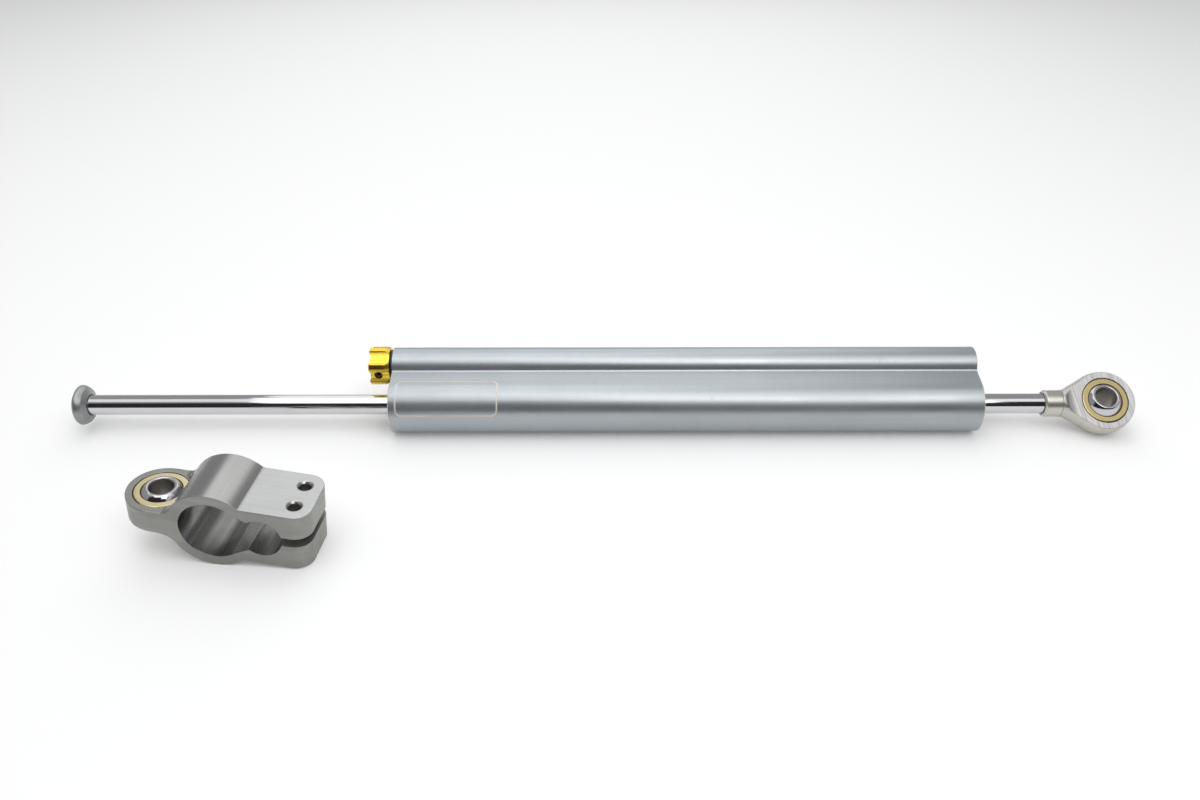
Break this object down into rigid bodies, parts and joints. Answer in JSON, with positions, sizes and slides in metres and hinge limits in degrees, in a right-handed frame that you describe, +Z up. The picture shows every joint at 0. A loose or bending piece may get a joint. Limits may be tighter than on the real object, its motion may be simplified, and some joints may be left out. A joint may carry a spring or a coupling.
{
  "type": "steering damper",
  "caption": "Through-rod steering damper with a spherical-bearing rod eye, a button end, a parallel adjuster tube with a fluted knob, and a loose split frame clamp beside it.",
  "frame": {"origin": "centre of the housing's length, on the rod's axis", "axes": "+X along the rod towards the rod eye, +Z up from the bench that the damper lies on, -Y towards the clamp"},
  "size_m": [0.4206, 0.1033, 0.03],
  "materials": {
    "housing_anodised": "fine bead-blasted, clear anodised",
    "rod_chrome": "ground and hard chromed",
    "button_anodised": "satin anodised",
    "eye_alloy": "turned, with brushed milled flats",
    "bearing_bronze": "turned",
    "bearing_steel": "polished",
    "knob_gold": "bright gold anodised",
    "clamp_alloy": "machined, satin anodised",
    "inner_alloy": "turned",
    "black_rubber": "moulded",
    "black_plastic": "moulded",
    "spring_steel": "blackened",
    "fine_steel": "turned",
    "bush_bronze": "porous bronze lined with dark polymer",
    "band_polymer": "bronze-filled polymer"
  },
  "bodies": {
    "housing": {"housing": "housing_anodised", "left_rod_guide": "inner_alloy", "right_rod_guide": "inner_alloy", "left_rod_bush": "bush_bronze", "right_rod_bush": "bush_bronze", "left_rod_seal": "black_rubber", "right_rod_seal": "black_rubber", "left_wiper": "black_rubber", "right_wiper": "black_rubber", "guide_o_rings": "black_rubber", "guide_circlips": "spring_steel", "adjuster_gland": "inner_alloy", "shaft_o_ring": "black_rubber", "knob_washer": "black_plastic", "valve_seat": "bearing_bronze", "channel_plug": "inner_alloy", "plug_o_ring": "black_rubber"},
    "piston_band": {"piston_band": "band_polymer"},
    "rod": {"piston_rod": "rod_chrome", "piston": "inner_alloy", "piston_o_ring": "black_rubber", "piston_circlips": "spring_steel", "end_button": "button_anodised", "rod_eye": "eye_alloy", "eye_race": "bearing_bronze"},
    "eye_ball": {"eye_ball": "bearing_steel"},
    "knob": {"adjuster_knob": "knob_gold", "knob_grub_screw": "spring_steel", "adjuster_shaft": "fine_steel"},
    "needle": {"metering_needle": "fine_steel"},
    "floating_piston": {"floating_piston": "inner_alloy", "floating_o_ring": "black_rubber"},
    "clamp": {"clamp_body": "clamp_alloy", "clamp_race": "bearing_bronze"},
    "clamp_ball": {"clamp_ball": "bearing_steel"}
  },
  "joints": [
    {"name": "rod_slide", "type": "slide", "parent": "housing", "child": "piston_band", "axis": [1, 0, 0], "range_m": [-0.018, 0.112]},
    {"name": "rod_turn", "type": "hinge", "parent": "piston_band", "child": "rod", "pos_m": [0, 0, 0], "axis": [1, 0, 0], "continuous": true},
    {"name": "eye_ball_tilt", "type": "hinge", "parent": "rod", "child": "eye_ball", "pos_m": [0.1664, 0, 0], "axis": [1, 0, 0], "range_deg": [-3, 25]},
    {"name": "knob_turn", "type": "hinge", "parent": "housing", "child": "knob", "pos_m": [-0.1215, 0.01256, 0.01054], "axis": [1, 0, 0], "range_deg": [-270, 270]},
    {"name": "needle_travel", "type": "slide", "parent": "housing", "child": "needle", "axis": [1, 0, 0], "range_m": [-0.00056, 0.00056]},
    {"name": "floating_slide", "type": "slide", "parent": "housing", "child": "floating_piston", "axis": [1, 0, 0], "range_m": [-0.003, 0.003]},
    {"name": "clamp_lift", "type": "slide", "parent": "housing", "child": "clamp", "axis": [0, 0, 1], "range_m": [0, 0.08]},
    {"name": "clamp_ball_tilt", "type": "hinge", "parent": "clamp", "child": "clamp_ball", "pos_m": [-0.18245, -0.06694, 0.00652], "axis": [0.0976, 0.9952, 0], "range_deg": [-14, 14]}
  ],
  "couplings": [
    {"joint": "knob_turn", "follows": "needle_travel", "rad_per_m": 8377.6}
  ]
}
